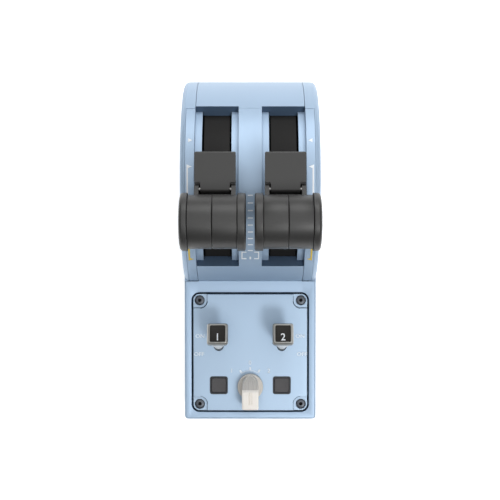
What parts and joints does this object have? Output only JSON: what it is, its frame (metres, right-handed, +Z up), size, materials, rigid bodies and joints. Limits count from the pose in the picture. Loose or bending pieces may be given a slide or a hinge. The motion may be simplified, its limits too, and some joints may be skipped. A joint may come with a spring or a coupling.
{
  "type": "throttle quadrant",
  "caption": "Desk throttle quadrant: twin thrust levers with reverse paddles in a drum housing, and a start panel with lift-to-unlock toggles, buttons and a rotary knob.",
  "frame": {"origin": "centre of the footprint, on the surface that the feet stand on", "axes": "+Z up, +Y forward (away from the pilot), +X to the pilot's right; levers at their rest notch"},
  "size_m": [0.098, 0.254, 0.1629],
  "materials": {
    "housing_paint": "satin light blue paint on moulded plastic",
    "panel_paint": "satin light blue paint",
    "dark_strip": "matt black",
    "base_black": "fine grain, matt",
    "foot_rubber": "matt",
    "steel": "bare",
    "screw_black": "black oxide",
    "brass": "bare",
    "ballast": "bare",
    "frame_plastic": "matt",
    "board_green": "solder mask",
    "grip_grey": "fine grain, matt dark grey",
    "cap_silver": "satin silver",
    "label_black": "gloss",
    "knob_cream": "satin cream",
    "button_grey": "matt"
  },
  "bodies": {
    "housing": {"housing_front": "housing_paint", "housing_side_1": "housing_paint", "housing_side_2": "housing_paint", "housing_rear": "housing_paint", "drum_cover": "housing_paint", "scale_plates": "housing_paint", "dust_strips": "dark_strip", "base_plate": "base_black", "base_feet": "foot_rubber", "base_screws": "screw_black", "panel_screws": "screw_black", "mount_inserts": "brass", "ballast_plate": "ballast", "axle": "steel", "detent_springs": "steel", "detent_rollers": "steel", "axle_brackets": "frame_plastic", "axle_bracket_middle": "frame_plastic", "axle_spacers": "frame_plastic", "friction_washers": "frame_plastic", "toggle_switches": "frame_plastic", "button_switches": "frame_plastic", "rotary_switch": "frame_plastic", "main_board": "board_green", "sensor_boards": "board_green", "panel_board": "board_green", "usb_socket": "steel", "switch_panel": "panel_paint", "button_bezels": "button_grey"},
    "mode_knob": {"mode_knob": "knob_cream"},
    "lever_1": {"lever_fork_1": "steel", "lever_hub_1": "frame_plastic", "lever_magnet_1": "frame_plastic", "lever_head_1": "grip_grey", "grip_barrel_inner_1": "grip_grey", "grip_barrel_outer_1": "grip_grey", "grip_flange_1": "grip_grey", "grip_cap_1": "grip_grey", "paddle_pin_1": "steel"},
    "paddle_1": {"reverse_paddle_1": "grip_grey"},
    "disconnect_1": {"disconnect_button_1": "grip_grey"},
    "toggle_1": {"toggle_stem_1": "steel"},
    "toggle_head_1": {"toggle_cap_1": "cap_silver", "toggle_label_1": "label_black"},
    "button_1": {"push_button_1": "button_grey"},
    "lever_2": {"lever_fork_2": "steel", "lever_hub_2": "frame_plastic", "lever_magnet_2": "frame_plastic", "lever_head_2": "grip_grey", "grip_barrel_inner_2": "grip_grey", "grip_barrel_outer_2": "grip_grey", "grip_flange_2": "grip_grey", "grip_cap_2": "grip_grey", "paddle_pin_2": "steel"},
    "paddle_2": {"reverse_paddle_2": "grip_grey"},
    "disconnect_2": {"disconnect_button_2": "grip_grey"},
    "toggle_2": {"toggle_stem_2": "steel"},
    "toggle_head_2": {"toggle_cap_2": "cap_silver", "toggle_label_2": "label_black"},
    "button_2": {"push_button_2": "button_grey"}
  },
  "joints": [
    {"name": "lever_1_swing", "type": "hinge", "parent": "housing", "child": "lever_1", "pos_m": [0, 0.0505, 0.0305], "axis": [-1, 0, 0], "range_deg": [-32, 36]},
    {"name": "paddle_1_lift", "type": "hinge", "parent": "lever_1", "child": "paddle_1", "pos_m": [-0.0235, 0.04017, 0.13001], "axis": [1, 0, 0], "range_deg": [0, 22], "stiffness_Nm_per_rad": 0.06, "springref_deg": -20.05},
    {"name": "disconnect_1_press", "type": "slide", "parent": "lever_1", "child": "disconnect_1", "axis": [1, 0, 0], "range_m": [0, 0.0015], "stiffness_N_per_m": 600, "springref_m": -0.0015},
    {"name": "toggle_1_tilt", "type": "hinge", "parent": "housing", "child": "toggle_1", "pos_m": [-0.0235, -0.07193, 0.04961], "axis": [1, 0, 0], "range_deg": [0, 40]},
    {"name": "toggle_1_unlock", "type": "slide", "parent": "toggle_1", "child": "toggle_head_1", "axis": [0, 0.309, 0.9511], "range_m": [0, 0.003], "stiffness_N_per_m": 400, "springref_m": -0.002},
    {"name": "button_1_press", "type": "slide", "parent": "housing", "child": "button_1", "axis": [0, 0.0349, -0.9994], "range_m": [0, 0.0012], "stiffness_N_per_m": 800, "springref_m": -0.001},
    {"name": "lever_2_swing", "type": "hinge", "parent": "housing", "child": "lever_2", "pos_m": [0, 0.0505, 0.0305], "axis": [-1, 0, 0], "range_deg": [-32, 36]},
    {"name": "paddle_2_lift", "type": "hinge", "parent": "lever_2", "child": "paddle_2", "pos_m": [0.0235, 0.04017, 0.13001], "axis": [1, 0, 0], "range_deg": [0, 22], "stiffness_Nm_per_rad": 0.06, "springref_deg": -20.05},
    {"name": "disconnect_2_press", "type": "slide", "parent": "lever_2", "child": "disconnect_2", "axis": [-1, 0, 0], "range_m": [0, 0.0015], "stiffness_N_per_m": 600, "springref_m": -0.0015},
    {"name": "toggle_2_tilt", "type": "hinge", "parent": "housing", "child": "toggle_2", "pos_m": [0.0235, -0.07193, 0.04961], "axis": [1, 0, 0], "range_deg": [0, 40]},
    {"name": "toggle_2_unlock", "type": "slide", "parent": "toggle_2", "child": "toggle_head_2", "axis": [0, 0.309, 0.9511], "range_m": [0, 0.003], "stiffness_N_per_m": 400, "springref_m": -0.002},
    {"name": "button_2_press", "type": "slide", "parent": "housing", "child": "button_2", "axis": [0, 0.0349, -0.9994], "range_m": [0, 0.0012], "stiffness_N_per_m": 800, "springref_m": -0.001},
    {"name": "mode_knob_turn", "type": "hinge", "parent": "housing", "child": "mode_knob", "pos_m": [0, -0.10193, 0.04906], "axis": [0, -0.0349, 0.9994], "range_deg": [-30, 30]}
  ]
}
